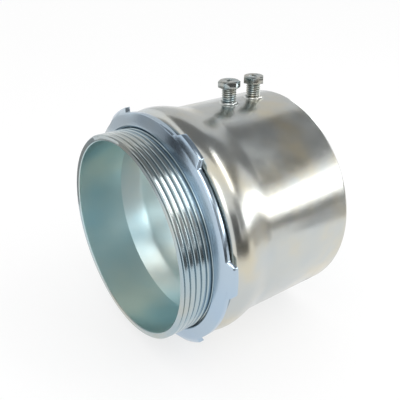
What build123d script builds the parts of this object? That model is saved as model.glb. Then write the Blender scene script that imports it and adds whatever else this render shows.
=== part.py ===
from build123d import *
import os
from math import cos, pi, radians, sin, tan

# A set-screw box connector for four-inch thin-wall tube. The axis is X: the threaded nipple points
# to -X, the socket opens to +X, and the set screws stand on top, at +Z. The origin is on the axis,
# in the plane of the shoulder face that bears on the box wall. Lengths are in millimetres.

# Tube and wall
tube_diameter = 114.3
tube_clearance = 0.9
wall = 4.1
socket_length = 82.2
mouth_chamfer = 1.4
rim_chamfer = 0.8
stop_margin = 0.2

# Threaded nipple
thread_step = 0.45
thread_pitch = 25.4 / 8
thread_depth = 1.25
thread_flank_angle = 36.0
thread_overlap = 0.4
thread_end_gap = 1.6
nipple_length = 24.4
nipple_wall = 3.4
nipple_chamfer = 0.9

# Shoulder
shoulder_width = 3.3
bead_rise = 3.1
bead_offset = 8.6
taper_length = 19.0
curve_steps = 3

# Set screws and their tapped holes
screw_diameter = 8.0
screw_length = 12.0
screw_exposed_length = 8.8
screw_spacing = 17.6
rear_screw_from_rim = 18.0
screw_tip_chamfer = 0.8
head_across_flats = 10.7
head_sides = 6
head_height = 3.8
head_crown_angle = 30.0
head_edge_height = 0.25
recess_span = 6.0
recess_width = 1.5
recess_depth = 1.8
front_head_turn = 28.6
rear_head_turn = -12.2
tap_clearance = 0.06
collar_base_diameter = 11.8
collar_top_diameter = 9.6
collar_height = 1.05
collar_sink = 0.6

# Locknut
nut_clearance = 0.08
nut_plate = 2.9
nut_front_gap = 8.3
nut_bore_chamfer = 1.2
nut_ring_width = 7.7
lug_rise = 3.0
dish_angle = 20.0
lug_angle = 38.0
lug_count = 6
lug_tip_width = 15.4
lug_side_angle = 39.0
lug_corner_radius = 1.6
lug_root_radius = 1.5

# Sizes that follow
thread_radius = tube_diameter / 2 - thread_step
throat_radius = thread_radius - nipple_wall
face_radius = thread_radius + shoulder_width
socket_radius = (tube_diameter + tube_clearance) / 2
body_radius = socket_radius + wall
bead_radius = body_radius + bead_rise
stop_radius = tube_diameter / 2 + stop_margin
taper_end = bead_offset + taper_length
rear_screw_x = socket_length - rear_screw_from_rim
front_screw_x = rear_screw_x - screw_spacing
collar_slope = (collar_base_diameter - collar_top_diameter) / 2 / collar_height


# The wall swells behind the shoulder face: a rounded front, then an easy curve down to the socket
def bead_front(start_x, start_radius, end_x, end_radius, steps):
    """Points along a quarter of an ellipse, from square to the axis to along it."""
    turns = [radians(90 * step / steps) for step in range(steps + 1)]
    return [
        (end_x - (end_x - start_x) * cos(turn), start_radius + (end_radius - start_radius) * sin(turn))
        for turn in turns
    ]


def bead_taper(start_x, start_radius, end_x, end_radius, steps):
    """Points along half a cosine wave, level at both ends."""
    shares = [step / steps for step in range(steps + 1)]
    return [
        (
            start_x + (end_x - start_x) * share,
            end_radius + (start_radius - end_radius) * (1 + cos(pi * share)) / 2,
        )
        for share in shares
    ]


# Body: one wall, turned about the axis
with BuildPart() as connector_body:
    with BuildSketch(Plane.XZ):
        with BuildLine():
            Polyline(
                (-nipple_length, throat_radius),
                (-nipple_length, thread_radius - nipple_chamfer),
                (-nipple_length + nipple_chamfer, thread_radius),
                (0, thread_radius),
                *bead_front(0, face_radius, bead_offset, bead_radius, curve_steps),
                *bead_taper(bead_offset, bead_radius, taper_end, body_radius, curve_steps)[1:],
                (socket_length - rim_chamfer, body_radius),
                (socket_length, body_radius - rim_chamfer),
                (socket_length, socket_radius + mouth_chamfer),
                (socket_length - mouth_chamfer, socket_radius),
                (taper_end, socket_radius),
                (bead_offset, bead_radius - wall),
                (wall, stop_radius),
                (wall, throat_radius),
                close=True,
            )
        make_face()
    revolve(axis=Axis.X)

    # Nipple thread: one helical groove, from past the rim to just short of the shoulder face
    with BuildLine() as thread_path:
        Helix(
            pitch=thread_pitch,
            height=nipple_length + thread_pitch - thread_end_gap,
            radius=thread_radius,
            center=(-nipple_length - thread_pitch, 0, 0),
            direction=(1, 0, 0),
        )
    start = thread_path.line @ 0
    outward = Vector(0, start.Y, start.Z)
    half_mouth = (thread_depth + thread_overlap) * tan(radians(thread_flank_angle))
    with BuildSketch(Plane(origin=start, x_dir=outward, z_dir=thread_path.line % 0)):
        with BuildLine():
            Polyline(
                (-thread_depth, 0),
                (thread_overlap, -half_mouth),
                (thread_overlap, half_mouth),
                close=True,
            )
        make_face()
    sweep(path=thread_path.line, is_frenet=True, mode=Mode.SUBTRACT)

    # Tapped holes, each with the collar that its forming has raised round it
    for screw_x in (front_screw_x, rear_screw_x):
        with Locations(Location((screw_x, 0, body_radius - collar_sink))):
            Cone(
                bottom_radius=collar_base_diameter / 2 + collar_slope * collar_sink,
                top_radius=collar_top_diameter / 2,
                height=collar_sink + collar_height,
                align=(Align.CENTER, Align.CENTER, Align.MIN),
            )
        with Locations(Location((screw_x, 0, body_radius + collar_height))):
            Hole(radius=screw_diameter / 2 + tap_clearance, depth=2 * wall)

connector_body.part.label = "connector_body"


# Locknut: a ring with a dished front and a flat back, its rim cut back between lugs bent to the rear
nut_bore = thread_radius + nut_clearance
ridge_radius = nut_bore + nut_bore_chamfer
nut_rim_radius = thread_radius + nut_ring_width
tip_radius = nut_rim_radius + lug_rise
nut_front = -nut_front_gap
rim_front = nut_front + (nut_rim_radius - ridge_radius) * tan(radians(dish_angle))
nut_back = rim_front + nut_plate
tip_front = rim_front + (tip_radius - nut_rim_radius) * tan(radians(lug_angle))
lug_foot = lug_tip_width / 2 + (tip_radius - ridge_radius) * tan(radians(lug_side_angle))

with BuildSketch() as lug_outline:
    with BuildLine():
        Polyline(
            (ridge_radius, -lug_foot),
            (tip_radius, -lug_tip_width / 2),
            (tip_radius, lug_tip_width / 2),
            (ridge_radius, lug_foot),
            close=True,
        )
    make_face()

with BuildPart() as locknut:
    with BuildSketch(Plane.XZ) as nut_section:
        with BuildLine():
            Polyline(
                (nut_front + nut_bore_chamfer, nut_bore),
                (nut_front, ridge_radius),
                (rim_front, nut_rim_radius),
                (tip_front, tip_radius),
                (tip_front + nut_plate, tip_radius),
                (nut_back, nut_rim_radius),
                (nut_back, nut_bore),
                close=True,
            )
        make_face()
    revolve(axis=Axis.X)
    with BuildSketch(Plane.YZ.offset(nut_front)) as outline:
        Circle(nut_rim_radius)
        with PolarLocations(0, lug_count):
            add(lug_outline.sketch)
        corners = outline.vertices().group_by(lambda corner: Vector(corner.X, corner.Y, 0).length)
        fillet(corners[-1], lug_corner_radius)
        roots = outline.vertices().group_by(lambda corner: Vector(corner.X, corner.Y, 0).length)[0]
        fillet(roots, lug_root_radius)
    extrude(amount=nut_front_gap, mode=Mode.INTERSECT)

locknut.part.label = "locknut"


def set_screw(screw_x, head_turn):
    """A hex-head screw part-way into its hole; head_turn is the angle of one of the head's corners."""
    seat = Plane(origin=(screw_x, 0, body_radius + screw_exposed_length))
    upright = Plane(origin=seat.origin, x_dir=(1, 0, 0), z_dir=(0, -1, 0))
    corner_radius = head_across_flats / 2 / cos(pi / head_sides)
    crown_radius = head_across_flats / 2 - head_edge_height
    crown_drop = (corner_radius - crown_radius) * tan(radians(head_crown_angle))
    with BuildPart() as screw:
        with BuildSketch(seat):
            RegularPolygon(head_across_flats / 2, head_sides, major_radius=False, rotation=head_turn)
        extrude(amount=head_height)
        with BuildSketch(upright):
            with BuildLine():
                Polyline(
                    (0, 0),
                    (corner_radius, 0),
                    (corner_radius, head_height - crown_drop),
                    (crown_radius, head_height),
                    (0, head_height),
                    close=True,
                )
            make_face()
        revolve(axis=Axis(seat.origin, seat.z_dir), mode=Mode.INTERSECT)
        with BuildSketch(seat.offset(head_height)):
            Rectangle(recess_span, recess_width, rotation=head_turn)
            Rectangle(recess_width, recess_span, rotation=head_turn)
        extrude(amount=-recess_depth, mode=Mode.SUBTRACT)
        with BuildSketch(seat):
            Circle(screw_diameter / 2)
        extrude(amount=-screw_length)
        chamfer(screw.edges().group_by(Axis.Z)[0], screw_tip_chamfer)
    return screw.part


set_screw_front = set_screw(front_screw_x, front_head_turn)
set_screw_front.label = "set_screw_front"
set_screw_rear = set_screw(rear_screw_x, rear_head_turn)
set_screw_rear.label = "set_screw_rear"

os.makedirs("parts", exist_ok=True)
export_step(connector_body.part, "parts/connector_body.step")
export_step(locknut.part, "parts/locknut.step")
export_step(set_screw_front, "parts/set_screw_front.step")
export_step(set_screw_rear, "parts/set_screw_rear.step")
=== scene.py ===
from math import atan2, cos, pi, radians, sin, sqrt, tan

import bpy
from mathutils import Matrix, Vector


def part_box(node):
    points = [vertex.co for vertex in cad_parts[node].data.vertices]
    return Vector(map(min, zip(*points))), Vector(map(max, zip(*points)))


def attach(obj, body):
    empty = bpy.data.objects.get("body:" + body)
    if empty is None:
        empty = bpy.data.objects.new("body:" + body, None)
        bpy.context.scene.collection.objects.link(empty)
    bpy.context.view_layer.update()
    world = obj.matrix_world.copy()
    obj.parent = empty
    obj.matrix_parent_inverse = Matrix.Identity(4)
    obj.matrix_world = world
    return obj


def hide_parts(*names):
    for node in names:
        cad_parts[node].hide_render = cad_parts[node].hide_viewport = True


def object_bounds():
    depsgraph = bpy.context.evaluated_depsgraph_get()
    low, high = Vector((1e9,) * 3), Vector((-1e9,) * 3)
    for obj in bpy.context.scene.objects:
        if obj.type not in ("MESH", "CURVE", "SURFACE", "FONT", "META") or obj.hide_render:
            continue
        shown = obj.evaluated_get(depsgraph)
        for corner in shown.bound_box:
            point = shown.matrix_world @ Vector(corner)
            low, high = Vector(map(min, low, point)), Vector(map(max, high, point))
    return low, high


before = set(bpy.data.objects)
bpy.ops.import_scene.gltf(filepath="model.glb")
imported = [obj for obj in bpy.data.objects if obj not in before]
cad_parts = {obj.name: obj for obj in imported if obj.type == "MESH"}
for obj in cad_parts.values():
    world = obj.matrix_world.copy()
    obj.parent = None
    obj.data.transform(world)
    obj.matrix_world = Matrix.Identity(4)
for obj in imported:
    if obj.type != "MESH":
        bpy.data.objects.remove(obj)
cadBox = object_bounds()
print("frame loaded")

mm = 0.001
fine = 0.0005 * mm  # how near counts as touching, where a mesh is cut
sameSpot = 0.002 * mm  # how near two vertices count as one


# Small modelling helpers

def startClean():
    bpy.ops.object.select_all(action="DESELECT")


def chain(name, points):
    # One vertex, extruded from point to point
    startClean()
    bpy.ops.mesh.primitive_plane_add(size=mm, location=points[0])
    piece = bpy.context.object
    piece.name = name
    bpy.ops.object.transform_apply(location=True, rotation=True, scale=True)
    bpy.ops.object.mode_set(mode="EDIT")
    bpy.ops.mesh.select_mode(type="VERT")
    bpy.ops.mesh.merge(type="CENTER")
    for here, there in zip(points, points[1:]):
        step = Vector(there) - Vector(here)
        bpy.ops.mesh.extrude_vertices_move(TRANSFORM_OT_translate={"value": step})
    bpy.ops.object.mode_set(mode="OBJECT")
    return piece


def mergeDoubles(gap=sameSpot):
    bpy.ops.mesh.select_all(action="SELECT")
    bpy.ops.mesh.remove_doubles(threshold=gap)
    bpy.ops.mesh.normals_make_consistent(inside=False)


def lathe(name, points, axis, center, segments):
    # Spins a chain of points once round the axis
    piece = chain(name, points)
    bpy.ops.object.mode_set(mode="EDIT")
    bpy.ops.mesh.select_all(action="SELECT")
    bpy.ops.mesh.spin(steps=segments, angle=2 * pi, center=center, axis=axis)
    mergeDoubles()
    bpy.ops.object.mode_set(mode="OBJECT")
    return piece


def selectVerts(piece, test):
    # Selects the vertices that pass the test; edit mode is entered
    bpy.ops.object.mode_set(mode="EDIT")
    bpy.ops.mesh.select_mode(type="VERT")
    bpy.ops.mesh.select_all(action="DESELECT")
    bpy.ops.object.mode_set(mode="OBJECT")
    for vertex in piece.data.vertices:
        vertex.select = test(vertex.co)
    bpy.ops.object.mode_set(mode="EDIT")


def applyAll(piece):
    startClean()
    piece.select_set(True)
    bpy.context.view_layer.objects.active = piece
    for modifier in list(piece.modifiers):
        bpy.ops.object.modifier_apply(modifier=modifier.name)


def cut(piece, cutter, operation="DIFFERENCE"):
    work = piece.modifiers.new("cut", "BOOLEAN")
    work.operation = operation
    work.solver = "EXACT"
    work.object = cutter
    applyAll(piece)
    bpy.data.objects.remove(cutter, do_unlink=True)


def smooth(piece, angle):
    startClean()
    piece.select_set(True)
    bpy.context.view_layer.objects.active = piece
    bpy.ops.object.shade_smooth_by_angle(angle=radians(angle))


def threadRadius(thread, share):
    # A groove at both ends of the pitch and a slightly rounded crest between them
    away = min(share, 1 - share) / thread["grooveShare"]
    if away <= 1:
        return thread["root"] + thread["depth"] * sin(pi / 2 * away) ** thread["flankPower"]
    crest = (share - thread["grooveShare"]) / (1 - 2 * thread["grooveShare"])
    return thread["root"] + thread["depth"] + thread["crestRise"] * sin(pi * crest)


def threadRod(name, thread, axis, turns, low):
    # A threaded rod round X or Z, from low upwards, open at both ends
    along = thread["pitch"] / thread["rows"]
    points = []
    for row in range(thread["rows"] + 1):
        radius = threadRadius(thread, row / thread["rows"])
        place = low + along * row
        points.append((place, 0, radius) if axis == "X" else (radius, 0, place))
    rod = chain(name, points)
    winding = rod.modifiers.new("winding", "SCREW")
    winding.axis = axis
    winding.steps = winding.render_steps = thread["segments"]
    winding.screw_offset = thread["pitch"]
    winding.iterations = turns
    winding.use_merge_vertices = False
    applyAll(rod)
    bpy.ops.object.mode_set(mode="EDIT")
    mergeDoubles()
    bpy.ops.object.mode_set(mode="OBJECT")
    return rod


def copyOfNode(node, name):
    # A copy of a CAD node with its triangles joined, to be finished here
    startClean()
    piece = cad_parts[node].copy()
    piece.data = piece.data.copy()
    piece.name = name
    piece.parent = None
    bpy.context.collection.objects.link(piece)
    piece.select_set(True)
    bpy.context.view_layer.objects.active = piece
    bpy.ops.object.mode_set(mode="EDIT")
    mergeDoubles()
    bpy.ops.object.mode_set(mode="OBJECT")
    return piece


# Metal finishes

def platedSteel(name, look):
    # Zinc plate: two tints drift over the grey, roughness clouds, and a fine grain in the bump
    material = bpy.data.materials.new(name)
    material.use_nodes = True
    nodes = material.node_tree.nodes
    links = material.node_tree.links
    shader = nodes["Principled BSDF"]
    shader.inputs["Metallic"].default_value = 1
    place = nodes.new("ShaderNodeTexCoord")
    low, high = 0.3, 0.7  # the part of the noise's range that is used

    def noise(scale, detail):
        texture = nodes.new("ShaderNodeTexNoise")
        texture.inputs["Scale"].default_value = scale
        texture.inputs["Detail"].default_value = detail
        links.new(place.outputs["Object"], texture.inputs["Vector"])
        return texture.outputs["Fac"]

    tint = nodes.new("ShaderNodeValToRGB")
    tint.color_ramp.elements[0].position = low
    tint.color_ramp.elements[0].color = (*look["coolTint"], 1)
    tint.color_ramp.elements[1].position = high
    tint.color_ramp.elements[1].color = (*look["warmTint"], 1)
    middle = tint.color_ramp.elements.new((low + high) / 2)
    middle.color = (*look["color"], 1)
    links.new(noise(look["tintScale"], 3), tint.inputs["Fac"])
    links.new(tint.outputs["Color"], shader.inputs["Base Color"])

    haze = nodes.new("ShaderNodeMapRange")
    haze.inputs["From Min"].default_value = low
    haze.inputs["From Max"].default_value = high
    haze.inputs["To Min"].default_value = look["roughness"][0]
    haze.inputs["To Max"].default_value = look["roughness"][1]
    links.new(noise(look["hazeScale"], 4), haze.inputs["Value"])
    links.new(haze.outputs["Result"], shader.inputs["Roughness"])

    grain = nodes.new("ShaderNodeBump")
    grain.inputs["Strength"].default_value = look["grainStrength"]
    grain.inputs["Distance"].default_value = look["grainDepth"]
    links.new(noise(look["grainScale"], 2), grain.inputs["Height"])
    links.new(grain.outputs["Normal"], shader.inputs["Normal"])
    return material


def dress(piece, body, material, node):
    piece.data.materials.clear()
    piece.data.materials.append(material)
    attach(piece, body)
    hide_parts(node)


# Body: one turned and swaged wall, with the nipple's thread and two tapped holes

bodyShape = {
    "nippleEnd": -24.4 * mm,
    "throat": 53.3 * mm,
    "nippleBlank": 57 * mm,  # stands over the thread's crest, so that the thread is cut all round
    "rimEdge": 0.4 * mm,
    "nippleChamfer": 0.9 * mm,
    "shoulder": 60 * mm,
    "beadPlace": 8.6 * mm,
    "bead": 64.8 * mm,
    "taperEnd": 27.6 * mm,
    "tube": 61.7 * mm,
    "socket": 57.6 * mm,
    "ledge": 4.1 * mm,  # the stop's place along the axis
    "step": 53.6 * mm,  # and the radius where the flare leaves it
    "flareEnd": 21 * mm,
    "flarePower": 1.3,
    "flareSteps": 14,
    "mouth": 82.2 * mm,
    "mouthEdge": 0.8 * mm,
    "mouthRound": ((2, 0), (1, 0.1), (0.3, 0.4), (0, 1)),  # back and inwards, in shares of mouthEdge
    "mouthChamfer": 1.4 * mm,
    "beadSteps": 10,
    "taperSteps": 16,
    "segments": 288,
    "smoothAngle": 32,
}

bodyThread = {
    "pitch": 25.4 / 8 * mm,
    "root": 55.4 * mm,
    "depth": 1.27 * mm,
    "grooveShare": 0.25,
    "flankPower": 0.8,
    "crestRise": 0.02 * mm,
    "rows": 16,
    "segments": 192,
    "turns": 10,
    "front": -27.6 * mm,
    "back": -0.08 * mm,
    "frontTrim": -26 * mm,
    "sleeveScale": 1.12,  # how far the sleeve's outside stands over the thread
}

tappedHole = {
    "radius": 4.06 * mm,
    "bottom": 52 * mm,
    "over": 3 * mm,
    "collar": 1.05 * mm,
    "collarTop": 4.75 * mm,
    "collarFoot": 6.1 * mm,
    "collarSink": 0.6 * mm,
    "footSteps": 6,
    "segments": 72,
}


def quarterWave(start, end, steps):
    # From square to the axis to along it
    (x0, r0), (x1, r1) = start, end
    turns = [pi / 2 * step / steps for step in range(steps + 1)]
    return [(x1 - (x1 - x0) * cos(turn), r0 + (r1 - r0) * sin(turn)) for turn in turns]


def halfWave(start, end, steps):
    # Level at both ends
    (x0, r0), (x1, r1) = start, end
    shares = [step / steps for step in range(steps + 1)]
    return [(x0 + (x1 - x0) * share, r1 + (r0 - r1) * (1 + cos(pi * share)) / 2) for share in shares]


def flare(start, end, power, steps):
    # From the end, where it is level, back to the start, ever steeper
    (x0, r0), (x1, r1) = start, end
    shares = [step / steps for step in range(steps + 1)]
    return [(x1 + (x0 - x1) * share, r1 + (r0 - r1) * share ** power) for share in shares]


def makeBody(shape, thread):
    front, mouth, edge = shape["nippleEnd"], shape["mouth"], shape["mouthEdge"]
    bead = (shape["beadPlace"], shape["bead"])
    outside = [
        (front, shape["throat"] + shape["rimEdge"]),
        (front, shape["nippleBlank"] - shape["nippleChamfer"]),
        (front + shape["nippleChamfer"], shape["nippleBlank"]),
        (0, shape["nippleBlank"]),
        *quarterWave((0, shape["shoulder"]), bead, shape["beadSteps"]),
        *halfWave(bead, (shape["taperEnd"], shape["tube"]), shape["taperSteps"])[1:],
        *((mouth - back * edge, shape["tube"] - inward * edge) for back, inward in shape["mouthRound"]),
    ]
    ledge, flareEnd = (shape["ledge"], shape["step"]), (shape["flareEnd"], shape["socket"])
    inside = [
        (mouth, shape["socket"] + shape["mouthChamfer"]),
        (mouth - shape["mouthChamfer"], shape["socket"]),
        (shape["flareEnd"] + shape["mouthChamfer"], shape["socket"]),
        *flare(ledge, flareEnd, shape["flarePower"], shape["flareSteps"]),
        (shape["ledge"], shape["throat"]),
        (front + shape["rimEdge"], shape["throat"]),
        outside[0],
    ]
    profile = [(x, 0, radius) for x, radius in outside + inside]
    body = lathe("zincBody", profile, (1, 0, 0), (0, 0, 0), shape["segments"])

    # The thread's sleeve: a threaded rod from the rim to the shoulder, made into what is cut away
    sleeve = threadRod("threadSleeve", thread, "X", thread["turns"], thread["front"])
    for place, side in ((thread["back"], 1), (thread["frontTrim"], -1)):
        bpy.ops.object.mode_set(mode="EDIT")
        bpy.ops.mesh.select_all(action="SELECT")
        bpy.ops.mesh.bisect(
            plane_co=(place, 0, 0),
            plane_no=(side, 0, 0),
            clear_outer=True,
            threshold=fine,
        )
        bpy.ops.object.mode_set(mode="OBJECT")
    bpy.ops.object.mode_set(mode="EDIT")
    mergeDoubles(2 * fine)
    bpy.ops.mesh.select_mode(type="EDGE")
    bpy.ops.mesh.select_all(action="DESELECT")
    bpy.ops.mesh.select_non_manifold()
    bpy.ops.mesh.extrude_edges_move()
    grow = thread["sleeveScale"]
    bpy.ops.transform.resize(value=(1, grow, grow), center_override=(0, 0, 0))
    bpy.ops.mesh.bridge_edge_loops()
    bpy.ops.mesh.select_all(action="SELECT")
    bpy.ops.mesh.normals_make_consistent(inside=False)
    bpy.ops.object.mode_set(mode="OBJECT")
    cut(body, sleeve)
    return body


def tapHole(body, hole, x, surface):
    # A collar that the forming has raised, with a curved foot, and the hole through it
    top, foot = hole["collarTop"], hole["collarFoot"]
    turns = [pi / 2 * step / hole["footSteps"] for step in range(hole["footSteps"] + 1)]
    slope = [
        (x + foot - (foot - top) * sin(turn), 0, surface + hole["collar"] * (1 - cos(turn)))
        for turn in turns
    ]
    points = [
        (x, 0, surface - hole["collarSink"]),
        (x + foot, 0, surface - hole["collarSink"]),
        *slope,
        (x, 0, surface + hole["collar"]),
    ]
    collar = lathe("collar", points, (0, 0, 1), (x, 0, 0), hole["segments"])
    cut(body, collar, "UNION")
    points = [
        (x, 0, hole["bottom"]),
        (x + hole["radius"], 0, hole["bottom"]),
        (x + hole["radius"], 0, surface + hole["over"]),
        (x, 0, surface + hole["over"]),
    ]
    drill = lathe("drill", points, (0, 0, 1), (x, 0, 0), hole["segments"])
    cut(body, drill)


def screwAxis(node):
    low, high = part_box(node)
    return (low.x + high.x) / 2


body = makeBody(bodyShape, bodyThread)
for node in ("set_screw_front", "set_screw_rear"):
    tapHole(body, tappedHole, screwAxis(node), bodyShape["tube"])
smooth(body, bodyShape["smoothAngle"])
print("body made")


# Locknut: a turned ring with a dished front, stamped to its lugged outline

locknutShape = {
    "bore": 56.78 * mm,
    "boreChamfer": 1.2 * mm,
    "rim": 64.4 * mm,
    "tip": 67.4 * mm,
    "over": 0.6 * mm,  # how far the turned ring stands over the lugs, before it is stamped
    "front": -8.3 * mm,
    "plate": 2.9 * mm,
    "dishAngle": 20,
    "lugAngle": 38,
    "bend": 1 * mm,
    "bendSteps": 6,
    "ridgeEdge": 0.3 * mm,
    "ridgeRound": ((0.7, -0.7), (0.25, 0)),  # back and outwards, in shares of ridgeEdge
    "segments": 360,
    "lugs": 6,
    "lugTipWidth": 15.4 * mm,
    "lugSideAngle": 39,
    "cornerRadius": 1.6 * mm,
    "rootRadius": 1.5 * mm,
    "arcSteps": 5,
    "edge": 0.16 * mm,
    "edgeSteps": 2,
    "edgeAngle": 35,
    "weld": 0.12 * mm,
    "smoothAngle": 32,
}


def arc(center, radius, start, end, steps):
    turns = [start + (end - start) * step / steps for step in range(steps + 1)]
    return [center + Vector((cos(turn), sin(turn))) * radius for turn in turns]


def lugOutline(shape):
    # One lug about the Y axis and the rim up to half way to its neighbours, as points across the axis
    lean = radians(shape["lugSideAngle"])
    square = Vector((sin(lean), cos(lean)))
    upward = Vector((cos(lean), -sin(lean)))
    side = square.dot(Vector((shape["tip"], shape["lugTipWidth"] / 2)))

    def center(reach, gap):
        return square * (side + gap) + upward * sqrt(reach ** 2 - (side + gap) ** 2)

    corner = center(shape["tip"] - shape["cornerRadius"], -shape["cornerRadius"])
    root = center(shape["rim"] + shape["rootRadius"], shape["rootRadius"])
    cornerTurn, rootTurn = atan2(corner.y, corner.x), atan2(root.y, root.x)
    sideTurn = pi / 2 - lean
    steps = shape["arcSteps"]
    middle = Vector((0, 0))
    half = [
        *arc(middle, shape["tip"], 0, cornerTurn, steps)[:-1],
        *arc(corner, shape["cornerRadius"], cornerTurn, sideTurn, steps),
        *arc(root, shape["rootRadius"], sideTurn + pi, rootTurn + pi, steps),
        *arc(middle, shape["rim"], rootTurn, pi / shape["lugs"], 2 * steps)[1:-1],
    ]
    return [Vector((point.x, -point.y)) for point in reversed(half[1:])] + half


def bentFace(x, slope, lugSlope, shape):
    # The face's bend from the ring's slope into the lugs', rounded either side of the rim
    bend = shape["bend"]
    points = []
    for step in range(shape["bendSteps"] + 1):
        away = bend * (2 * step / shape["bendSteps"] - 1)
        rise = slope * away + (lugSlope - slope) * (away + bend) ** 2 / (4 * bend)
        points.append((x + rise, shape["rim"] + away))
    top = shape["tip"] + shape["over"]
    points.append((x + lugSlope * (top - shape["rim"]), top))
    return points


def makeLocknut(shape):
    front, bore, edge = shape["front"], shape["bore"], shape["ridgeEdge"]
    dish, lug = tan(radians(shape["dishAngle"])), tan(radians(shape["lugAngle"]))
    ridge = bore + shape["boreChamfer"]
    rimFront = front + (shape["rim"] - ridge) * dish
    back = rimFront + shape["plate"]
    section = [
        (front + shape["boreChamfer"], bore),
        *((front + away * edge, ridge + out * edge) for away, out in shape["ridgeRound"]),
        (front + dish * edge, ridge + edge),
        *bentFace(rimFront, dish, lug, shape),
        *reversed(bentFace(back, 0, lug, shape)),
        (back, bore),
        (front + shape["boreChamfer"], bore),
    ]
    profile = [(x, 0, radius) for x, radius in section]
    ring = lathe("zincLocknut", profile, (1, 0, 0), (0, 0, 0), shape["segments"])

    lugPoints = lugOutline(shape)
    outline = []
    for number in range(shape["lugs"]):
        turn = Matrix.Rotation(2 * pi * number / shape["lugs"], 2)
        outline += [turn @ point for point in lugPoints]
    outline.append(outline[0])
    reach = -2 * front  # past the ring on both sides
    stamp = chain("stamp", [(-reach, point.x, point.y) for point in outline])
    bpy.ops.object.mode_set(mode="EDIT")
    mergeDoubles()
    bpy.ops.mesh.edge_face_add()
    bpy.ops.mesh.extrude_region_move(TRANSFORM_OT_translate={"value": (2 * reach, 0, 0)})
    bpy.ops.mesh.select_all(action="SELECT")
    bpy.ops.mesh.normals_make_consistent(inside=False)
    bpy.ops.object.mode_set(mode="OBJECT")
    cut(ring, stamp, "INTERSECT")

    # The stamped edges, slightly worn round
    bpy.ops.object.mode_set(mode="EDIT")
    mergeDoubles(shape["weld"])
    bpy.ops.object.mode_set(mode="OBJECT")
    worn = ring.modifiers.new("worn", "BEVEL")
    worn.width = shape["edge"]
    worn.segments = shape["edgeSteps"]
    worn.limit_method = "ANGLE"
    worn.angle_limit = radians(shape["edgeAngle"])
    worn.use_clamp_overlap = False
    applyAll(ring)
    smooth(ring, shape["smoothAngle"])
    return ring


locknut = makeLocknut(locknutShape)
print("locknut made")


# Set screws: hex heads on threaded shanks

screwShape = {
    "tip": 58.5 * mm,
    "tipLength": 0.8 * mm,
    "tipScale": 0.8,
    "headFrom": 70.45 * mm,  # what stands over this, just under the seat, is the head
    "shankEnd": 71 * mm,  # the new shank ends inside the head
    "flatAngle": 1,
    "edge": 0.14 * mm,
    "edgeSteps": 2,
    "edgeAngle": 25,
    "smoothAngle": 40,
}

screwThread = {
    "pitch": 1.25 * mm,
    "root": 3.3 * mm,
    "depth": 0.7 * mm,
    "grooveShare": 0.5,
    "flankPower": 0.8,
    "crestRise": 0,
    "rows": 8,
    "segments": 48,
    "turns": 11,
}


def makeScrew(node, name, shape, thread):
    x = screwAxis(node)
    head = copyOfNode(node, name)
    selectVerts(head, lambda co: co.z < shape["headFrom"])
    bpy.ops.mesh.delete(type="VERT")
    bpy.ops.mesh.select_all(action="SELECT")
    bpy.ops.mesh.dissolve_limited(angle_limit=radians(shape["flatAngle"]))
    bpy.ops.object.mode_set(mode="OBJECT")
    easing = head.modifiers.new("easing", "BEVEL")
    easing.width = shape["edge"]
    easing.segments = shape["edgeSteps"]
    easing.limit_method = "ANGLE"
    easing.angle_limit = radians(shape["edgeAngle"])
    applyAll(head)

    shank = threadRod(name + "Shank", thread, "Z", thread["turns"], shape["tip"])
    bpy.ops.object.mode_set(mode="EDIT")
    bpy.ops.mesh.select_all(action="SELECT")
    bpy.ops.mesh.bisect(
        plane_co=(0, 0, shape["tip"] + shape["tipLength"]),
        plane_no=(0, 0, -1),
        use_fill=True,
        clear_outer=True,
        threshold=fine,
    )
    bpy.ops.mesh.extrude_region_move(TRANSFORM_OT_translate={"value": (0, 0, -shape["tipLength"])})
    taper = shape["tipScale"]
    bpy.ops.transform.resize(value=(taper, taper, 1), center_override=(0, 0, 0))
    bpy.ops.mesh.select_all(action="SELECT")
    bpy.ops.mesh.bisect(
        plane_co=(0, 0, shape["shankEnd"]),
        plane_no=(0, 0, 1),
        use_fill=True,
        clear_outer=True,
        threshold=fine,
    )
    bpy.ops.mesh.select_all(action="SELECT")
    bpy.ops.mesh.normals_make_consistent(inside=False)
    bpy.ops.transform.translate(value=(x, 0, 0))
    bpy.ops.object.mode_set(mode="OBJECT")

    startClean()
    shank.select_set(True)
    head.select_set(True)
    bpy.context.view_layer.objects.active = head
    bpy.ops.object.join()
    smooth(head, shape["smoothAngle"])
    return head


frontScrew = makeScrew("set_screw_front", "frontScrew", screwShape, screwThread)
rearScrew = makeScrew("set_screw_rear", "rearScrew", screwShape, screwThread)
print("screws made")


# Finishes

bodyFinish = {
    "color": (0.575, 0.59, 0.565),
    "coolTint": (0.53, 0.57, 0.585),
    "warmTint": (0.66, 0.612, 0.48),
    "tintScale": 30,
    "roughness": (0.18, 0.265),
    "hazeScale": 90,
    "grainStrength": 0.35,
    "grainDepth": 0.05 * mm,
    "grainScale": 420,
}

boreFinish = {
    "color": (0.55, 0.67, 0.67),
    "coolTint": (0.45, 0.64, 0.69),
    "warmTint": (0.66, 0.71, 0.65),
    "tintScale": 20,
    "roughness": (0.285, 0.37),
    "hazeScale": 45,
    "grainStrength": 0.1,
    "grainDepth": 0.05 * mm,
    "grainScale": 900,
}

# The nipple's zinc: the body's plating made darker and bluer, the darkening being painted shade for the
# dark that the thread reflects
threadZincLookWithPaintedShade = {
    "color": (0.46, 0.53, 0.55),
    "coolTint": (0.39, 0.50, 0.56),
    "warmTint": (0.52, 0.53, 0.48),
    "tintScale": 30,
    "roughness": (0.14, 0.22),
    "hazeScale": 80,
    "grainStrength": 0.12,
    "grainDepth": 0.05 * mm,
    "grainScale": 1200,
}

locknutFinish = {
    "color": (0.47, 0.57, 0.66),
    "coolTint": (0.42, 0.55, 0.70),
    "warmTint": (0.50, 0.54, 0.53),
    "tintScale": 16,
    "roughness": (0.15, 0.22),
    "hazeScale": 70,
    "grainStrength": 0.08,
    "grainDepth": 0.05 * mm,
    "grainScale": 900,
}

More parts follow.
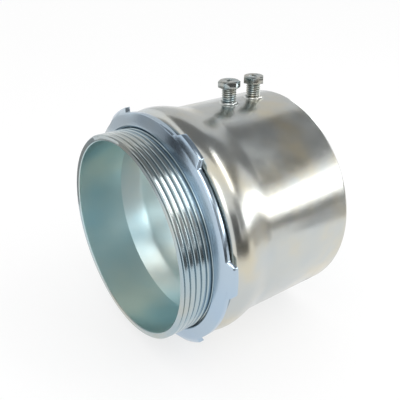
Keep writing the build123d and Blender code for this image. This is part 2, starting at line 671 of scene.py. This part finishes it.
screwFinish = {
    "color": (0.42, 0.445, 0.43),
    "coolTint": (0.33, 0.43, 0.47),
    "warmTint": (0.47, 0.445, 0.38),
    "tintScale": 150,
    "roughness": (0.12, 0.22),
    "hazeScale": 200,
    "grainStrength": 0.1,
    "grainDepth": 0.04 * mm,
    "grainScale": 1500,
}

bodyZinc = platedSteel("bodyZinc", bodyFinish)
boreZinc = platedSteel("boreZinc", boreFinish)
threadZincPaintedShade = platedSteel("threadZincPaintedShade", threadZincLookWithPaintedShade)
locknutZinc = platedSteel("locknutZinc", locknutFinish)
screwZinc = platedSteel("screwZinc", screwFinish)

dress(body, "connector", bodyZinc, "connector_body")
dress(locknut, "locknut", locknutZinc, "locknut")
dress(frontScrew, "front_screw", screwZinc, "set_screw_front")
dress(rearScrew, "rear_screw", screwZinc, "set_screw_rear")

# The plating is bluer in the bore, up to the tapped holes; the nipple's outside gets a darker copy of the
# zinc, which is painted shade for the dark that its thread reflects
boreZone = {"facing": -0.3, "below": 58 * mm}

body.data.materials.append(boreZinc)
body.data.materials.append(threadZincPaintedShade)
for face in body.data.polygons:
    outward = Vector((0, face.center.y, face.center.z)).normalized()
    if face.normal.dot(outward) < boreZone["facing"]:
        if face.center.z < boreZone["below"]:
            face.material_index = 1
    elif face.center.x < bodyThread["back"]:
        face.material_index = 2
print("finishes on")


# Studio: a white room with soft lamps, and cards that only the metal's reflections see

studio = {
    "floorSize": 8,
    "floorColor": (0.93, 0.93, 0.93),
    "floorGlow": 0.68,
    "roughness": 0.9,
}

lamps = {
    "rightBox": {"from": (0.76, -0.62, 0.192), "distance": 1.1, "size": (0.67, 0.265), "power": 1.5},
    "upperBox": {
        "from": (0.4525, -0.439, 0.777),
        "distance": 0.82,
        "size": (0.14, 0.49),
        "turn": -35,
        "power": 0.78,
    },
    "leftBox": {"from": (-0.57, -0.61, 0.55), "distance": 1.1, "size": (0.45, 0.5), "power": 1.6},
}

cards = {
    "mouthGlow": {"from": (0.925, 0.006, 0.375), "distance": 0.165, "size": (0.06, 0.06), "glow": 2.8},
    "mouthLow": {"from": (0.965, 0.08, -0.25), "distance": 0.104, "size": (0.08, 0.085), "glow": 0.45},
    "overRight": {"from": (0.72, -0.22, 0.66), "distance": 0.9, "size": (0.95, 0.44), "glow": 0.22},
    "overhead": {"from": (0.2, 0.2, 0.96), "distance": 0.9, "size": (0.9, 0.9), "glow": 0.2},
    "backRight": {"from": (0.64, 0.64, 0.42), "distance": 1.0, "size": (0.9, 0.65), "glow": 0.7},
    "back": {"from": (-0.58, 0.73, 0.36), "distance": 0.9, "size": (0.4, 0.74), "glow": 0.42},
    "behind": {"from": (-0.2, 0.97, -0.08), "distance": 0.6, "size": (0.36, 0.2), "glow": 0.66},
    "backLeft": {
        "from": (-0.836, 0.522, 0.174),
        "distance": 0.8,
        "size": (0.2, 0.42),
        "turn": -15,
        "glow": 0.04,
    },
    "upperLeft": {"from": (-0.81, 0.24, 0.54), "distance": 0.8, "size": (0.32, 0.3), "glow": 0.05},
    "rimLow": {"from": (-0.44, 0.88, -0.181), "distance": 0.193, "size": (0.12, 0.065), "glow": 0.35},
    "floorRight": {"from": (0.788, -0.601, -0.137), "distance": 0.293, "size": (0.11, 0.046), "glow": 0.5},
    "lowRight": {"from": (0.62, -0.78, -0.04), "distance": 0.62, "size": (0.9, 0.08), "glow": 0.12},
    "frontRight": {"from": (0.385, -0.864, 0.326), "distance": 0.8, "size": (0.3, 0.4), "glow": 0.35},
    "front": {"from": (-0.104, -0.988, 0.11), "distance": 0.289, "size": (0.15, 0.2), "glow": 0.12},
    "frontLow": {"from": (0.304, -0.946, -0.111), "distance": 0.296, "size": (0.13, 0.064), "glow": 0.05},
}


def plainMaterial(name, color):
    material = bpy.data.materials.new(name)
    material.use_nodes = True
    shader = material.node_tree.nodes["Principled BSDF"]
    shader.inputs["Base Color"].default_value = (*color, 1)
    shader.inputs["Roughness"].default_value = studio["roughness"]
    return material


def makeWorld():
    world = bpy.data.worlds.new("whiteRoom")
    world.use_nodes = True
    world.node_tree.nodes["Background"].inputs["Color"].default_value = (1, 1, 1, 1)
    bpy.context.scene.world = world


def makeFloor(size, color, glow, height):
    # The floor glows towards the camera and the metal, so that it is white and keeps a light shadow
    startClean()
    bpy.ops.mesh.primitive_plane_add(size=size, location=(0, 0, height))
    floor = bpy.context.object
    floor.name = "floor"
    material = plainMaterial("paleFloor", color)
    nodes = material.node_tree.nodes
    links = material.node_tree.links
    path = nodes.new("ShaderNodeLightPath")
    seen = nodes.new("ShaderNodeMath")
    seen.operation = "MAXIMUM"
    links.new(path.outputs["Is Camera Ray"], seen.inputs[0])
    links.new(path.outputs["Is Glossy Ray"], seen.inputs[1])
    both = nodes.new("ShaderNodeMath")
    both.operation = "MAXIMUM"
    links.new(seen.outputs["Value"], both.inputs[0])
    links.new(path.outputs["Is Transmission Ray"], both.inputs[1])
    strength = nodes.new("ShaderNodeMath")
    strength.operation = "MULTIPLY"
    strength.inputs[1].default_value = glow
    links.new(both.outputs["Value"], strength.inputs[0])
    white = nodes.new("ShaderNodeEmission")
    mix = nodes.new("ShaderNodeMixShader")
    links.new(strength.outputs["Value"], mix.inputs["Fac"])
    links.new(nodes["Principled BSDF"].outputs["BSDF"], mix.inputs[1])
    links.new(white.outputs["Emission"], mix.inputs[2])
    links.new(mix.outputs["Shader"], nodes["Material Output"].inputs["Surface"])
    floor.data.materials.append(material)


def aimAtOrigin(thing, place):
    toward = Vector(place["from"]).normalized()
    thing.location = toward * place["distance"]
    thing.rotation_euler = (-toward).to_track_quat("-Z", "Y").to_euler()
    thing.rotation_euler.rotate_axis("Z", radians(place.get("turn", 0)))


def hangLamp(name, lamp):
    data = bpy.data.lights.new(name, "AREA")
    data.shape = "RECTANGLE"
    data.size, data.size_y = lamp["size"]
    data.energy = lamp["power"]
    box = bpy.data.objects.new(name, data)
    aimAtOrigin(box, lamp)
    bpy.context.collection.objects.link(box)


def standCard(name, card):
    startClean()
    bpy.ops.mesh.primitive_plane_add(size=1)
    board = bpy.context.object
    board.name = name
    board.scale = (*card["size"], 1)
    aimAtOrigin(board, card)
    material = plainMaterial(name + "Card", (0, 0, 0))
    shader = material.node_tree.nodes["Principled BSDF"]
    shader.inputs["Emission Color"].default_value = (1, 1, 1, 1)
    shader.inputs["Emission Strength"].default_value = card["glow"]
    board.data.materials.append(material)
    board.visible_camera = False
    board.visible_diffuse = False
    board.visible_shadow = False


makeWorld()
makeFloor(studio["floorSize"], studio["floorColor"], studio["floorGlow"], cadBox[0].z)
for name, lamp in lamps.items():
    hangLamp(name, lamp)
for name, card in cards.items():
    standCard(name, card)
print("studio set")


# Camera, where the photo was taken from

view = {
    "place": (-0.1391, -0.2257, 0.1501),
    "aim": (0.0349, 0.0114, 0.0005),
    "roll": -0.3,
    "lens": 48.95,
    "sensor": 36,
    "nearest": 0.01,
}

bpy.ops.object.camera_add(location=view["place"])
camera = bpy.context.object
camera.name = "camera"
camera.data.lens = view["lens"]
camera.data.sensor_width = view["sensor"]
camera.data.clip_start = view["nearest"]
toAim = Vector(view["aim"]) - Vector(view["place"])
camera.rotation_euler = toAim.to_track_quat("-Z", "Y").to_euler()
camera.rotation_euler.rotate_axis("Z", radians(view["roll"]))
bpy.context.scene.camera = camera
bpy.context.scene.view_settings.view_transform = "Standard"
print("camera set")
